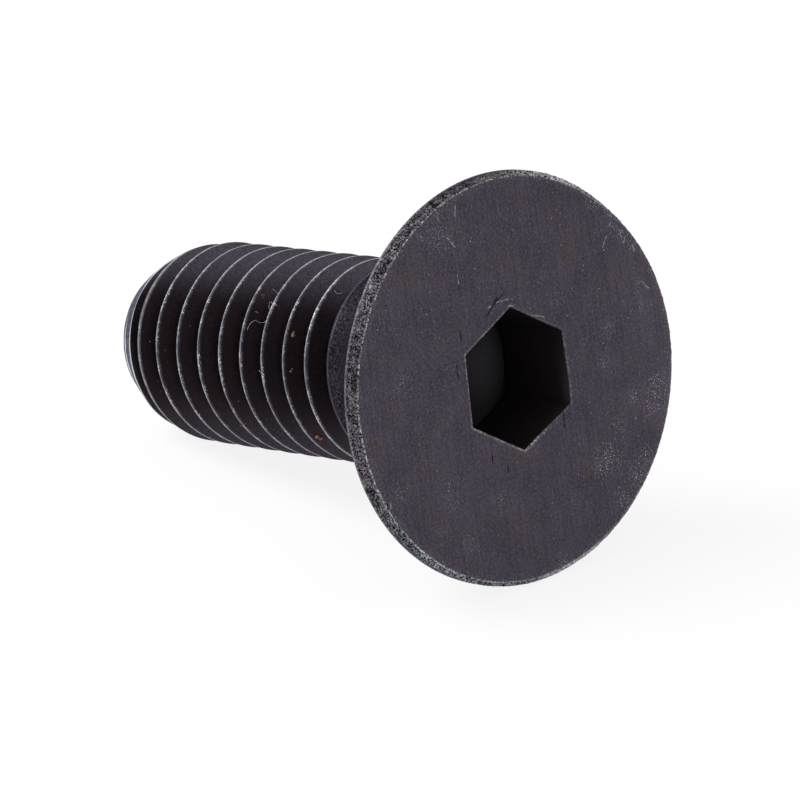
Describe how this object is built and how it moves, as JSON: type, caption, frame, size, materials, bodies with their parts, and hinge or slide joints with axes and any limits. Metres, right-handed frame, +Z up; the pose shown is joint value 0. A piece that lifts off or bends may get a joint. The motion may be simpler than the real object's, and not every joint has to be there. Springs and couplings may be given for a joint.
{
  "type": "countersunk socket screw",
  "caption": "Flat countersunk screw with a hexagonal socket, a right-hand rolled thread and a chamfered point, in blackened steel.",
  "frame": {"origin": "middle of the screw's bounding box in X and Y, on the surface that it lies on (Z = 0)", "axes": "The screw lies at rest on its side. +Z is up. The screw's axis lies in the XZ plane, with the head towards +X, and rises towards the head by about 12 degrees, because the head's rim is wider than the thread."},
  "size_m": [0.0268, 0.0186, 0.0182],
  "materials": {
    "black_oxide_steel": "black oxide on alloy steel, satin, worn to bright metal along the crests, the rim and the hexagon's edges"
  },
  "bodies": {
    "root": {"screw": "black_oxide_steel"}
  },
  "joints": []
}
